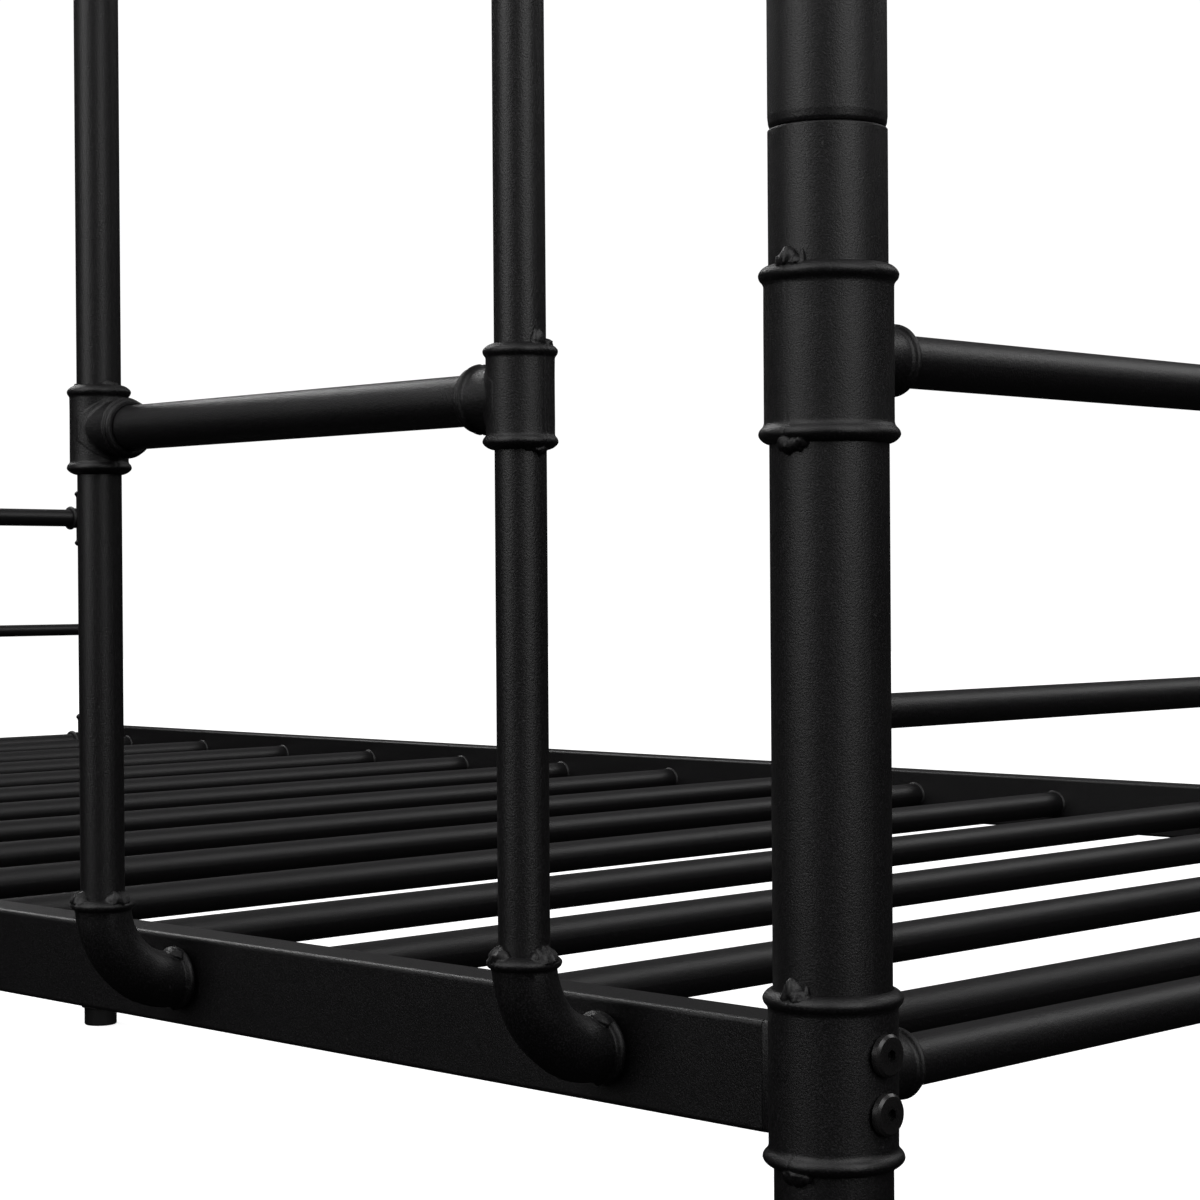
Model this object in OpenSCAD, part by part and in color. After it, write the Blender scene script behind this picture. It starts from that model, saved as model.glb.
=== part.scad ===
// Twin-over-twin bunk bed in steel tube, with beaded pipe-style fittings and a fixed upright ladder.
// Millimetres. +X runs along the bed, +Y to the back, +Z up. The origin is on the floor, in the middle of the
// whole footprint, ladder included.
// The ladder stands on the front (-Y) side, at the right-hand (+X) end.

/* [Bed size] */
// Distance between the post centre lines, along the bed
bed_l = 1935; // [1500:5:2300]
// Distance between the post centre lines, across the bed
bed_w = 1027; // [800:1:1600]
// Height of the lower rails' top face above the floor
lower_top = 339; // [250:1:500]
// Rise from the lower rails to the upper rails
bunk_rise = 991; // [700:1:1300]
// Rise from the lower rails' top face to the seam between the stacked posts
seam_rise = 312; // [280:1:400]
// Rise from the upper rails' top face to the top of the post tube
post_rise = 312; // [280:1:400]

/* [Posts] */
// Post tube outside diameter
post_od = 42; // [38:0.5:50]
// Post tube wall
post_wall = 1.5; // [1.2:0.1:3]
// How far the upper post's bottom end is drawn in
draw_in = 0.9; // [0.2:0.1:1]
// Height of the drawn-in end
draw_h = 4; // [2:0.5:8]
// Chamfer on the lower post's top end
post_chamfer = 0.4; // [0.2:0.1:0.8]
// Gap left at the seam between the stacked posts
seam_gap = 0.5; // [0.2:0.1:1]

/* [Post plugs] */
// Radial slip of a plug inside a tube
plug_fit = 0.2; // [0.1:0.05:0.4]
// Length of the joiner inside each of the two posts
joiner_reach = 70; // [40:1:120]
// Depth of the joiner's neck, cut in at the seam
joiner_neck_cut = 3.3; // [1:0.1:4]
// Height of the joiner's neck
joiner_neck_h = 6; // [4:0.5:12]
// Wall of the joiner at its neck
joiner_wall = 3; // [2:0.5:5]
// How far the foot glide stands in from the post's outside
foot_inset = 2.9; // [1:0.1:5]
// Height of the foot glide under its collar
foot_h = 20; // [12:0.5:30]
// Rounding of the foot glide's bottom edge
foot_round = 2; // [1:0.5:4]
// Thickness of the collar that the post tube rests on
collar_h = 3; // [2:0.5:5]
// Height of the plug stem inside the post
stem_h = 25; // [15:1:40]
// Height of the dome on the post cap
dome_h = 7; // [4:0.5:12]

/* [Side rails] */
// Height of the rectangular rail tube
rail_h = 40; // [36:1:50]
// Width of the rectangular rail tube
rail_w = 22; // [20:1:30]
// Rail wall
rail_wall = 1.5; // [1.2:0.1:3]
// Outside corner radius of the rail
rail_round = 2; // [1.8:0.1:3.5]
// Gap between the rail's end and the fitting on the post
rail_gap = 0.6; // [0.2:0.1:1]

/* [Slats] */
// Number of slats in each bed
slat_count = 14; // [8:1:18]
// Distance from the post centre line to the first slat
slat_end = 70.9; // [60:0.1:90]

/* [Tubes] */
// Outside diameter of the slats, ladder tubes, guard tubes and thick end tubes
tube_od = 19; // [16:0.1:20]
// Wall of those tubes
tube_wall = 1.2; // [1:0.1:2]
// Outside diameter of the thin tubes
thin_od = 12.7; // [10:0.1:15]
// Wall of the thin tubes
thin_wall = 1; // [0.8:0.1:1.5]
// Root gap left under a weld
weld_gap = 0.2; // [0.1:0.05:0.3]

/* [End frames] */
// Height of the rail-level fittings' centre above the rail's centre line
fitting_lift = 1.5; // [0:0.5:3]
// Rise of the thin end tube above the rail's top face
thin_rise = 108; // [80:1:130]
// Rise of the top end tube above the rail's top face
top_rise = 233.3; // [190:0.1:250]

/* [Post tees] */
// Wall of the tee's sleeve, with its slip on the post
sleeve_wall = 2; // [1.5:0.1:3]
// Height of the tee's sleeve
sleeve_h = 62; // [50:1:80]
// How far the sleeve's end beads stand out from it
sleeve_bead_lift = 1.5; // [1:0.1:2.5]
// Radius of the sleeve's end beads
sleeve_bead_r = 3.6; // [3:0.1:4]
// Length of the tee's outlet past the sleeve
post_outlet_l = 14.5; // [10:0.5:26]
// Radial slip between a fitting and the tube it is closed around
shell_fit = 0.15; // [0.1:0.05:0.3]
// Gap between the two pressed half shells of a fitting
shell_gap = 0.2; // [0.1:0.05:0.3]

/* [Pipe fittings] */
// Wall of the small tees and elbows, with its slip on the tube
pipe_wall = 2.7; // [2:0.1:3.5]
// Wall of an outlet, with its slip on the tube
outlet_wall = 2.3; // [1.8:0.1:3]
// How far an end bead stands out
bead_lift = 1.3; // [0.8:0.1:2]
// Radius of an end bead
bead_r = 2.4; // [1.8:0.1:2.8]
// Length of a small tee
tee_l = 38.5; // [34:0.5:50]
// Length of a small tee's outlet past its run
tee_outlet_l = 11.5; // [9:0.1:20]
// Radius of an elbow's bend
bend_r = 28; // [22:0.5:32]
// Length of an elbow's straight end past the bend
elbow_leg = 10.5; // [8:0.5:14]
// Depth of a tube's end inside an elbow
socket_depth = 9; // [6:0.5:14]

/* [Ladder] */
// Distance from the right-hand posts' centre line to the nearer upright
ladder_inset = 102; // [80:1:300]
// Distance between the uprights' centre lines
ladder_w = 264; // [240:1:320]
// Distance from the rail's face out to the uprights' centre line
ladder_gap = 40.6; // [38:0.1:50]
// Rise of the first rung above the lower rail's top face
rung_rise = 222; // [180:1:260]
// Distance between rungs
rung_pitch = 255; // [200:1:290]
// Number of rungs
rung_count = 3; // [2:1:3]

/* [Guard rails] */
// Distance from the front right post to the guard's end upright
guard_opening = 390; // [330:1:420]
// Height of the beaded socket under each guard upright
guard_socket_h = 14; // [10:1:20]

/* [Fasteners] */
// Bolt diameter
bolt_d = 6; // [5:0.5:6.5]
// Radial clearance in a bolt's hole through a wall
bolt_play = 0.3; // [0.2:0.05:0.5]
// Radial clearance of a bolt in its threaded insert
thread_play = 0.1; // [0.05:0.05:0.2]
// Bolt head diameter
head_d = 14.8; // [12:0.1:16]
// Bolt head thickness
head_h = 3; // [2:0.1:4]
// Chamfer on the bolt head
head_chamfer = 0.9; // [0.5:0.1:1.5]
// Hex socket across flats
hex_af = 4; // [3:0.5:5]
// Hex socket depth
hex_deep = 2; // [1:0.1:2.5]
// Distance between the two bolts of a rail end
bolt_pitch = 20.3; // [17:0.1:21]
// Thickness of a rail's threaded end plate
plate_t = 10; // [6:0.5:16]
// Length of a round threaded insert
insert_l = 14; // [10:1:20]
// Length of thread that a bolt leaves past its insert
bolt_tail = 2; // [1:0.5:4]
// Clearance under a bolt head, where it seats
seat_gap = 0.1; // [0.05:0.05:0.2]

/* [Hidden] */
$fn = 64;
eps = 1;
x_post = bed_l / 2;
upper_top = lower_top + bunk_rise;
bed_tops = [lower_top, upper_top];
seam_z = lower_top + seam_rise;
crown_z = upper_top + post_rise;
post_id = post_od - 2 * post_wall;
plug_d = post_id - 2 * plug_fit;
joiner_neck_d = plug_d - 2 * joiner_neck_cut;
foot_od = post_od - 2 * foot_inset;
sleeve_od = post_od + 2 * sleeve_wall;
sleeve_bead_od = sleeve_od + 2 * sleeve_bead_lift;
pipe_od = tube_od + 2 * pipe_wall;
bead_od = pipe_od + 2 * bead_lift;
outlet_od = tube_od + 2 * outlet_wall;
outlet_bead_od = outlet_od + 2 * bead_lift;
outlet_reach = sleeve_od / 2 + post_outlet_l;
tee_reach = pipe_od / 2 + tee_outlet_l;
slat_drop = rail_h / 2;
fitting_drop = rail_h / 2 - fitting_lift;
rail_face = rail_w / 2;
ladder_out = rail_face + ladder_gap;
y_mid = (ladder_out + bead_od / 2 - sleeve_bead_od / 2) / 2;
tube_id = tube_od - 2 * tube_wall;
shell_bore = tube_od + 2 * shell_fit;
rail_in = sleeve_od / 2 + rail_gap;
rail_l = bed_l - 2 * rail_in;
slat_span = bed_l - 2 * slat_end;
slat_l = bed_w - rail_w - 2 * weld_gap;
hole_d = bolt_d + 2 * bolt_play;
thread_d = bolt_d + 2 * thread_play;
post_bolt_l = sleeve_od + rail_gap + plate_t + bolt_tail;
ladder_x = [x_post - ladder_inset - ladder_w, x_post - ladder_inset];
ladder_y = post_y(-1) - ladder_out;
elbow_reach = ladder_gap - weld_gap;
elbow_top = bend_r + elbow_leg;
rung_z = [for (i = [0 : rung_count - 1]) lower_top + rung_rise + i * rung_pitch];
insert_od = tube_id - 2 * plug_fit;
guard_top = upper_top + top_rise;
guard_end_x = x_post - guard_opening;
guard_front_x = [for (i = [1 : 2]) -x_post + i * (guard_end_x + x_post) / 3];
guard_back_x = [for (i = [1 : 3]) -x_post + i * bed_l / 4];
guard_foot = upper_top + weld_gap;
guard_start = post_od / 2 + weld_gap;
side_outlets = [[-1, -1], [-1, 1], [1, 1]];
// Centre line of the front (sy = -1) or back (sy = 1) posts, so that the whole bed, with its ladder,
// is centred on the origin
function post_y(sy) = y_mid + sy * bed_w / 2;
black = [0.055, 0.055, 0.06];
plastic = [0.03, 0.03, 0.032];
zinc = [0.6, 0.61, 0.63];

// ---- general shapes -------------------------------------------------------------------------

// A round tube standing on z = 0
module tube(od, wall, length) {
    difference() {
        cylinder(d = od, h = length);
        translate([0, 0, -eps]) cylinder(d = od - 2 * wall, h = length + 2 * eps);
    }
}

// Turns what stands along +Z to lie along +X, +Y or -Z
module along_x() {
    rotate([0, 90, 0]) children();
}
module along_y() {
    rotate([-90, 0, 0]) children();
}
module downward() {
    rotate([180, 0, 0]) children();
}

// A rectangle with true round corners, in the plane, centred
module round_rect(w, h, r) {
    square([w - 2 * r, h], center = true);
    square([w, h - 2 * r], center = true);
    for (sx = [-1, 1], sy = [-1, 1])
        translate([sx * (w / 2 - r), sy * (h / 2 - r)]) circle(r = r, $fn = 32);
}

// One beaded end of a pressed fitting: z = 0 is the open end, and the bead lies below it
module end_bead(od, r) {
    translate([0, 0, -r]) rotate_extrude() translate([od / 2 - r, 0]) circle(r = r, $fn = 32);
}

// The four corners, with the outlet side (+Y of the child) turned towards the middle of the bed
module each_corner(z) {
    for (sx = [-1, 1], sy = [-1, 1])
        translate([sx * x_post, post_y(sy), z]) rotate([0, 0, sy > 0 ? 180 : 0]) children();
}

// The four corners, with +X of the child turned outward along the bed
module each_outward_corner(z) {
    for (sx = [-1, 1], sy = [-1, 1])
        translate([sx * x_post, post_y(sy), z]) rotate([0, 0, sx < 0 ? 180 : 0]) children();
}

// ---- posts and their plugs ------------------------------------------------------------------

// Holes for the two bolts of a rail end, through both walls of a post or sleeve, centred on z = 0
module rail_bolt_holes(d) {
    for (s = [-1, 1])
        translate([-sleeve_od, 0, s * bolt_pitch / 2]) along_x() cylinder(d = d, h = 2 * sleeve_od, $fn = 32);
}

// One bolt hole right through, for a guard rail's end
module guard_bolt_hole(d) {
    translate([-sleeve_od, 0, 0]) along_x() cylinder(d = d, h = 2 * sleeve_od, $fn = 32);
}

// Lower post: from the foot glide's collar to the seam, its top edge chamfered
module lower_post(sx, sy) {
    bottom = foot_h + collar_h;
    top = seam_z - seam_gap / 2;
    color(black) translate([sx * x_post, post_y(sy), 0]) difference() {
        rotate_extrude() polygon([[post_id / 2, bottom], [post_od / 2, bottom],
            [post_od / 2, top - post_chamfer], [post_od / 2 - post_chamfer, top], [post_id / 2, top]]);
        translate([0, 0, lower_top - fitting_drop]) rail_bolt_holes(hole_d);
    }
}

// Upper post: from the seam to the cap, its bottom end drawn in
module upper_post(sx, sy) {
    bottom = seam_z + seam_gap / 2;
    color(black) translate([sx * x_post, post_y(sy), 0]) difference() {
        rotate_extrude() polygon([[post_id / 2, bottom], [post_od / 2 - draw_in, bottom],
            [post_od / 2 - draw_in / 3, bottom + draw_h / 3], [post_od / 2, bottom + draw_h],
            [post_od / 2, crown_z], [post_id / 2, crown_z]]);
        translate([0, 0, upper_top - fitting_drop]) rail_bolt_holes(hole_d);
        if (has_side_outlet(sx, sy))
            translate([0, 0, guard_top]) guard_bolt_hole(hole_d);
    }
}

function has_side_outlet(sx, sy) = len([for (c = side_outlets) if (c == [sx, sy]) c]) > 0;

// Joiner: a turned plug half in each stacked post, with a neck at the seam
module post_joiner() {
    difference() {
        union() {
            cylinder(d = joiner_neck_d, h = 2 * joiner_reach, center = true);
            for (s = [-1, 1])
                translate([0, 0, s * (joiner_reach + joiner_neck_h / 2) / 2])
                    cylinder(d = plug_d, h = joiner_reach - joiner_neck_h / 2, center = true);
        }
        cylinder(d = joiner_neck_d - 2 * joiner_wall, h = 2 * joiner_reach + 2 * eps, center = true);
    }
}

// Foot glide: a moulded plug with a collar that the post rests on and a narrower round foot
module foot_glide() {
    rotate_extrude() {
        translate([0, foot_round]) square([foot_od / 2, foot_h - foot_round]);
        square([foot_od / 2 - foot_round, foot_round]);
        translate([foot_od / 2 - foot_round, foot_round]) circle(r = foot_round, $fn = 32);
    }
    translate([0, 0, foot_h]) cylinder(d = post_od, h = collar_h);
    translate([0, 0, foot_h + collar_h]) cylinder(d = plug_d, h = stem_h);
}

// Post cap: a moulded plug with a collar and a low dome
module post_cap() {
    ball_r = (pow(post_od / 2, 2) + pow(dome_h, 2)) / (2 * dome_h);
    rotate_extrude() {
        translate([0, -stem_h]) square([plug_d / 2, stem_h]);
        square([post_od / 2, collar_h]);
        translate([0, collar_h]) intersection() {
            translate([0, dome_h - ball_r]) circle(r = ball_r, $fn = 128);
            square([post_od / 2, dome_h]);
        }
    }
}

// ---- rails and slats ------------------------------------------------------------------------

// Side rail: a rectangular tube between two posts; its bolts run in from the ends
module rail(sy, top) {
    color(black) translate([-rail_l / 2, post_y(sy), top - rail_h / 2]) difference() {
        rotate([90, 0, 90]) linear_extrude(rail_l) difference() {
            round_rect(rail_w, rail_h, rail_round);
            square([rail_w - 2 * rail_wall, rail_h - 2 * rail_wall], center = true);
        }
        rail_holes(sy, top);
    }
}

// Holes in a rail for the ladder's bolts and the guard uprights' bolts; origin as in rail()
module rail_holes(sy, top) {
    if (sy < 0)
        for (x = ladder_x)
            translate([x + rail_l / 2, -rail_w, rail_h / 2 - fitting_drop])
                along_y() cylinder(d = hole_d, h = 2 * rail_w, $fn = 32);
    if (top == upper_top)
        for (x = sy < 0 ? concat(guard_front_x, [guard_end_x]) : guard_back_x)
            translate([x + rail_l / 2, 0, -rail_h]) cylinder(d = hole_d, h = 2 * rail_h, $fn = 32);
}

// Threaded plate closing each end of a rail, flush with the end
module rail_end_plate(top) {
    translate([-rail_in - plate_t / 2, 0, top - rail_h / 2]) difference() {
        cube([plate_t, rail_w - 2 * rail_wall - 2 * plug_fit, rail_h - 2 * rail_wall - 2 * plug_fit],
            center = true);
        translate([0, 0, rail_h / 2 - fitting_drop]) rail_bolt_holes(thread_d);
    }
}

// Round slats, welded between the two rails
module slats(top) {
    color(black) for (i = [0 : slat_count - 1])
        translate([-slat_span / 2 + i * slat_span / (slat_count - 1), y_mid - slat_l / 2, top - slat_drop])
            along_y() tube(tube_od, tube_wall, slat_l);
}

// ---- end frames -----------------------------------------------------------------------------

// A tube across one end, its ends coped to the posts
module end_tube(sx, z, od, wall) {
    color(black) translate([sx * x_post, 0, z]) difference() {
        translate([0, post_y(-1), 0]) along_y() tube(od, wall, bed_w);
        for (sy = [-1, 1])
            translate([0, post_y(sy), -post_od]) cylinder(d = post_od + 2 * weld_gap, h = 2 * post_od);
    }
}

// An outlet on a post tee, along +Y from the post's centre line
module tee_outlet() {
    along_y() cylinder(d = outlet_od, h = outlet_reach - bead_r);
    translate([0, outlet_reach, 0]) along_y() end_bead(outlet_bead_od, bead_r);
}

// Post tee: two pressed half shells closed around the post, with beaded ends and an outlet along +Y.
// A guard rail's side outlet runs along side * X
module post_tee(bolted, side) {
    difference() {
        union() {
            cylinder(d = sleeve_od, h = sleeve_h - 2 * sleeve_bead_r, center = true);
            translate([0, 0, sleeve_h / 2]) end_bead(sleeve_bead_od, sleeve_bead_r);
            translate([0, 0, -sleeve_h / 2 + 2 * sleeve_bead_r]) end_bead(sleeve_bead_od, sleeve_bead_r);
            tee_outlet();
            if (side != 0)
                rotate([0, 0, -90 * side]) tee_outlet();
        }
        cylinder(d = post_od + 2 * shell_fit, h = sleeve_h + 2 * eps, center = true);
        along_y() cylinder(d = shell_bore, h = outlet_reach + eps);
        if (side != 0) {
            rotate([0, 0, -90 * side]) along_y() cylinder(d = shell_bore, h = outlet_reach + eps);
            guard_bolt_hole(hole_d);
        }
        if (bolted)
            rail_bolt_holes(hole_d);
        translate([-shell_gap / 2, -sleeve_od, -sleeve_h])
            cube([shell_gap, sleeve_od + 2 * outlet_reach, 2 * sleeve_h]);
    }
}

// ---- small pipe fittings --------------------------------------------------------------------

// Small tee: the run along Z, the outlet along +X, split into half shells by the plane of both
module pipe_tee() {
    difference() {
        union() {
            cylinder(d = pipe_od, h = tee_l - 2 * bead_r, center = true);
            translate([0, 0, tee_l / 2]) end_bead(bead_od, bead_r);
            translate([0, 0, -tee_l / 2 + 2 * bead_r]) end_bead(bead_od, bead_r);
            along_x() cylinder(d = outlet_od, h = tee_reach - bead_r);
            translate([tee_reach, 0, 0]) along_x() end_bead(outlet_bead_od, bead_r);
        }
        cylinder(d = shell_bore, h = tee_l + 2 * eps, center = true);
        along_x() cylinder(d = shell_bore, h = tee_reach + eps);
        translate([-pipe_od, -shell_gap / 2, -tee_l]) cube([pipe_od + 2 * tee_reach, shell_gap, 2 * tee_l]);
    }
}

// Elbow: from a socket at z = elbow_top down and round to the +Y direction, ending at y = reach
module pipe_elbow(reach) {
    difference() {
        union() {
            elbow_bar(pipe_od, reach - bead_r, elbow_top - bead_r);
            translate([0, 0, elbow_top]) end_bead(bead_od, bead_r);
            translate([0, reach, 0]) along_y() end_bead(bead_od, bead_r);
        }
        elbow_bar(shell_bore, reach + eps, elbow_top + eps);
        translate([-shell_gap / 2, -pipe_od, -pipe_od])
            cube([shell_gap, reach + 2 * pipe_od, elbow_top + 2 * pipe_od]);
    }
}

// The elbow's round bar: straight, bend, straight
module elbow_bar(d, reach, rise) {
    translate([0, 0, bend_r]) cylinder(d = d, h = rise - bend_r);
    translate([0, bend_r, 0]) along_y() cylinder(d = d, h = reach - bend_r);
    translate([0, bend_r, bend_r]) rotate([0, 90, 0]) rotate([0, 0, -90])
        rotate_extrude(angle = 90) translate([bend_r, 0]) circle(d = d);
}

// Round threaded insert, its open face at z = 0 and its body above
module tube_insert(od) {
    difference() {
        cylinder(d = od, h = insert_l, $fn = 48);
        translate([0, 0, -eps]) cylinder(d = thread_d, h = insert_l + 2 * eps, $fn = 32);
    }
}

// Bolt: flat chamfered head with a hex socket, its seat at z = 0 and its shank going down
module bolt(length) {
    difference() {
        rotate_extrude() polygon([[0, -length], [bolt_d / 2 - 0.5, -length], [bolt_d / 2, -length + 0.5],
            [bolt_d / 2, seat_gap], [head_d / 2, seat_gap], [head_d / 2, head_h - head_chamfer],
            [head_d / 2 - head_chamfer, head_h], [0, head_h]]);
        translate([0, 0, head_h - hex_deep]) cylinder(d = hex_af / cos(30), h = hex_deep + eps, $fn = 6);
    }
}

// ---- sub-parts ------------------------------------------------------------------------------

module foot_glides() {
    color(plastic) each_corner(0) foot_glide();
}

module post_joiners() {
    color(zinc) each_corner(seam_z) post_joiner();
}

module post_caps() {
    color(plastic) each_corner(crown_z) post_cap();
}

module rail_tees(top) {
    color(black) each_corner(top - fitting_drop) post_tee(true, 0);
}

module lower_top_tees() {
    color(black) each_corner(lower_top + top_rise) post_tee(false, 0);
}

// The upper bed's top tees also take the guard rails' ends, which run towards the bed's middle
module upper_top_tees() {
    color(black) for (sx = [-1, 1], sy = [-1, 1])
        translate([sx * x_post, post_y(sy), guard_top]) rotate([0, 0, sy > 0 ? 180 : 0])
            post_tee(false, has_side_outlet(sx, sy) ? sx * sy : 0);
}

module rail_end_plates() {
    color(zinc) for (top = bed_tops)
        each_outward_corner(0) rail_end_plate(top);
}

// Two bolts through each post into the rail's end plate, and one into each guard rail's end
module post_bolts() {
    color(black) {
        for (top = bed_tops, s = [-1, 1])
            each_outward_corner(top - fitting_drop + s * bolt_pitch / 2)
                translate([sleeve_od / 2, 0, 0]) along_x() bolt(post_bolt_l);
        for (c = side_outlets)
            translate([c[0] * x_post, post_y(c[1]), guard_top]) rotate([0, 0, c[0] < 0 ? 180 : 0])
                translate([sleeve_od / 2, 0, 0]) along_x() bolt(post_bolt_l);
    }
}

module ladder_upright(x) {
    bottom = lower_top - fitting_drop + elbow_top - socket_depth;
    top = upper_top - fitting_drop - elbow_top + socket_depth;
    color(black) translate([x, ladder_y, bottom]) tube(tube_od, tube_wall, top - bottom);
}

// Rung: coped to the uprights inside the tees
module ladder_rung(i) {
    if (i < rung_count)
        color(black) difference() {
            translate([ladder_x[0], ladder_y, rung_z[i]]) along_x() tube(tube_od, tube_wall, ladder_w);
            for (x = ladder_x)
                translate([x, ladder_y, rung_z[i] - tube_od])
                    cylinder(d = tube_od + 2 * weld_gap, h = 2 * tube_od);
        }
}

module ladder_tees() {
    color(black) for (z = rung_z, s = [0, 1])
        translate([ladder_x[s], ladder_y, z]) rotate([0, 0, 180 * s]) pipe_tee();
}

module ladder_lower_elbows() {
    color(black) for (x = ladder_x)
        translate([x, ladder_y, lower_top - fitting_drop]) pipe_elbow(elbow_reach);
}

module ladder_upper_elbows() {
    color(black) for (x = ladder_x)
        translate([x, ladder_y, upper_top - fitting_drop]) rotate([0, 180, 0]) pipe_elbow(elbow_reach);
}

// Threaded inserts in the elbows, against the rail
module ladder_inserts() {
    color(zinc) for (x = ladder_x, top = bed_tops)
        translate([x, post_y(-1) - rail_face - weld_gap, top - fitting_drop])
            rotate([90, 0, 0]) tube_insert(shell_bore - 2 * plug_fit);
}

// Ladder bolts: from the rail's inner face, through the rail, into the elbows
module ladder_bolts() {
    color(black) for (x = ladder_x, top = bed_tops)
        translate([x, post_y(-1) + rail_face, top - fitting_drop])
            along_y() bolt(rail_w + insert_l + bolt_tail);
}

// ---- guard rails of the upper bed -----------------------------------------------------------

module guard_front_top_tube() {
    start = -x_post + guard_start;
    end = guard_end_x - elbow_top + socket_depth;
    color(black) translate([start, post_y(-1), guard_top]) along_x() tube(tube_od, tube_wall, end - start);
}

module guard_back_top_tube() {
    color(black) translate([-x_post + guard_start, post_y(1), guard_top])
        along_x() tube(tube_od, tube_wall, bed_l - 2 * guard_start);
}

// A guard upright from the rail's top face to the top tube, coped to it inside its tee
module guard_upright(x, sy) {
    difference() {
        translate([x, post_y(sy), guard_foot]) tube(tube_od, tube_wall, guard_top - guard_foot);
        translate([x - tube_od, post_y(sy), guard_top])
            along_x() cylinder(d = tube_od + 2 * weld_gap, h = 2 * tube_od);
    }
}

// The front guard's end upright stops in the elbow
module guard_front_uprights() {
    color(black) {
        for (x = guard_front_x)
            guard_upright(x, -1);
        translate([guard_end_x, post_y(-1), guard_foot])
            tube(tube_od, tube_wall, guard_top - elbow_top + socket_depth - guard_foot);
    }
}

module guard_back_uprights() {
    color(black) for (x = guard_back_x)
        guard_upright(x, 1);
}

// Thin tubes between a list of upright centres, coped to what they meet
module guard_thin_tubes(xs, sy, first_d, last_d) {
    last = len(xs) - 1;
    color(black) translate([0, post_y(sy), upper_top + thin_rise])
        for (i = [0 : last - 1])
            difference() {
                translate([xs[i], 0, 0]) along_x() tube(thin_od, thin_wall, xs[i + 1] - xs[i]);
                translate([xs[i], 0, -post_od])
                    cylinder(d = (i == 0 ? first_d : tube_od) + 2 * weld_gap, h = 2 * post_od);
                translate([xs[i + 1], 0, -post_od])
                    cylinder(d = (i == last - 1 ? last_d : tube_od) + 2 * weld_gap, h = 2 * post_od);
            }
}

module guard_front_thin_tubes() {
    guard_thin_tubes(concat([-x_post], guard_front_x, [guard_end_x]), -1, post_od, tube_od);
}

module guard_back_thin_tubes() {
    guard_thin_tubes(concat([-x_post], guard_back_x, [x_post]), 1, post_od, post_od);
}

// Tees on the top tubes, their outlets down over the uprights
module guard_tees() {
    color(black) {
        for (x = guard_front_x)
            translate([x, post_y(-1), guard_top]) rotate([0, 90, 0]) pipe_tee();
        for (x = guard_back_x)
            translate([x, post_y(1), guard_top]) rotate([0, 90, 0]) pipe_tee();
    }
}

// The elbow that turns the front guard's top tube down into its end upright
module guard_elbow() {
    color(black) translate([guard_end_x, post_y(-1), guard_top])
        downward() rotate([0, 0, 90]) pipe_elbow(elbow_top);
}

// Beaded sockets on the rails' top faces, around the uprights' feet
module guard_sockets() {
    color(black) {
        for (x = concat(guard_front_x, [guard_end_x]))
            translate([x, post_y(-1), guard_foot]) guard_socket();
        for (x = guard_back_x)
            translate([x, post_y(1), guard_foot]) guard_socket();
    }
}

module guard_socket() {
    difference() {
        union() {
            cylinder(d = outlet_od, h = guard_socket_h - bead_r);
            translate([0, 0, guard_socket_h]) end_bead(bead_od, bead_r);
        }
        translate([0, 0, -eps]) cylinder(d = shell_bore, h = guard_socket_h + 2 * eps);
    }
}

module guard_inserts() {
    color(zinc) {
        for (x = concat(guard_front_x, [guard_end_x]))
            translate([x, post_y(-1), guard_foot]) tube_insert(insert_od);
        for (x = guard_back_x)
            translate([x, post_y(1), guard_foot]) tube_insert(insert_od);
    }
}

// Bolts from under the upper rails, up into the guard uprights
module guard_bolts() {
    color(black) {
        for (x = concat(guard_front_x, [guard_end_x]))
            translate([x, post_y(-1), upper_top - rail_h]) downward() bolt(rail_h + insert_l + bolt_tail);
        for (x = guard_back_x)
            translate([x, post_y(1), upper_top - rail_h]) downward() bolt(rail_h + insert_l + bolt_tail);
    }
}

module guard_end_inserts() {
    color(zinc) for (c = side_outlets)
        translate([c[0] * (x_post - guard_start), post_y(c[1]), guard_top])
            rotate([0, 0, c[0] < 0 ? 0 : 180]) along_x() tube_insert(insert_od);
}

foot_glides();
lower_post(-1, -1);  // lower_post_front_left
lower_post(1, -1);  // lower_post_front_right
lower_post(-1, 1);  // lower_post_back_left
lower_post(1, 1);  // lower_post_back_right
rail(-1, lower_top);  // lower_front_rail
rail(1, lower_top);  // lower_back_rail
slats(lower_top);  // lower_slats
end_tube(-1, lower_top - fitting_drop, tube_od, tube_wall);  // lower_left_bottom_tube
end_tube(-1, lower_top + thin_rise, thin_od, thin_wall);  // lower_left_thin_tube
end_tube(-1, lower_top + top_rise, tube_od, tube_wall);  // lower_left_top_tube
end_tube(1, lower_top - fitting_drop, tube_od, tube_wall);  // lower_right_bottom_tube
end_tube(1, lower_top + thin_rise, thin_od, thin_wall);  // lower_right_thin_tube
end_tube(1, lower_top + top_rise, tube_od, tube_wall);  // lower_right_top_tube
rail_tees(lower_top);  // lower_rail_tees
lower_top_tees();
post_joiners();
upper_post(-1, -1);  // upper_post_front_left
upper_post(1, -1);  // upper_post_front_right
upper_post(-1, 1);  // upper_post_back_left
upper_post(1, 1);  // upper_post_back_right
rail(-1, upper_top);  // upper_front_rail
rail(1, upper_top);  // upper_back_rail
slats(upper_top);  // upper_slats
end_tube(-1, upper_top - fitting_drop, tube_od, tube_wall);  // upper_left_bottom_tube
end_tube(-1, upper_top + thin_rise, thin_od, thin_wall);  // upper_left_thin_tube
end_tube(-1, guard_top, tube_od, tube_wall);  // upper_left_top_tube
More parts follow.
